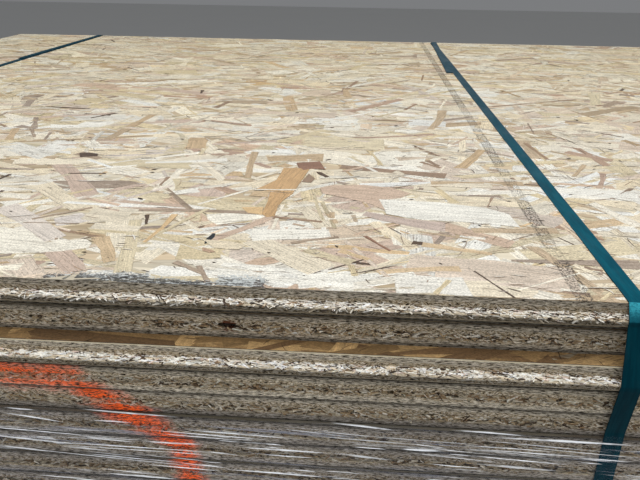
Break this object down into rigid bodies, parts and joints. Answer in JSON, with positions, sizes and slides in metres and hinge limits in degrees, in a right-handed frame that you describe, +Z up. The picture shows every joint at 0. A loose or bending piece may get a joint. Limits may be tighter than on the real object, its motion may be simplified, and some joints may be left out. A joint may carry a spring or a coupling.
{
  "type": "stack of osb panels",
  "caption": "Strapped pack of tongue-and-groove oriented strand board panels on timber bearers, wrapped in clear film below the top layers.",
  "frame": {"origin": "centre of the pack's bounding box, on the ground plane under the bearers", "axes": "+X along the long side of the panels, -Y out of the long side where the top and third panels show their tongues, +Z up"},
  "size_m": [2.8218, 1.28, 0.9098],
  "materials": {
    "osb": "matte",
    "strap": "satin",
    "bearer_wood": "matte",
    "film": "glossy"
  },
  "bodies": {
    "root": {"panel_01": "osb", "panel_02": "osb", "panel_03": "osb", "panel_04": "osb", "panel_05": "osb", "panel_06": "osb", "panel_07": "osb", "panel_08": "osb", "panel_09": "osb", "panel_10": "osb", "panel_11": "osb", "panel_12": "osb", "panel_13": "osb", "panel_14": "osb", "panel_15": "osb", "panel_16": "osb", "panel_17": "osb", "panel_18": "osb", "panel_19": "osb", "panel_20": "osb", "panel_21": "osb", "panel_22": "osb", "panel_23": "osb", "panel_24": "osb", "panel_25": "osb", "panel_26": "osb", "panel_27": "osb", "panel_28": "osb", "panel_29": "osb", "panel_30": "osb", "panel_31": "osb", "panel_32": "osb", "panel_33": "osb", "panel_34": "osb", "panel_35": "osb", "panel_36": "osb", "panel_37": "osb", "panel_38": "osb", "panel_39": "osb", "panel_40": "osb", "panel_41": "osb", "panel_42": "osb", "panel_43": "osb", "panel_44": "osb", "panel_45": "osb", "panel_46": "osb", "strap_1": "strap", "strap_2": "strap", "strap_3": "strap", "strap_4": "strap", "bearer_1": "bearer_wood", "bearer_2": "bearer_wood", "bearer_3": "bearer_wood", "bearer_4": "bearer_wood", "stretch_film": "film"}
  },
  "joints": []
}
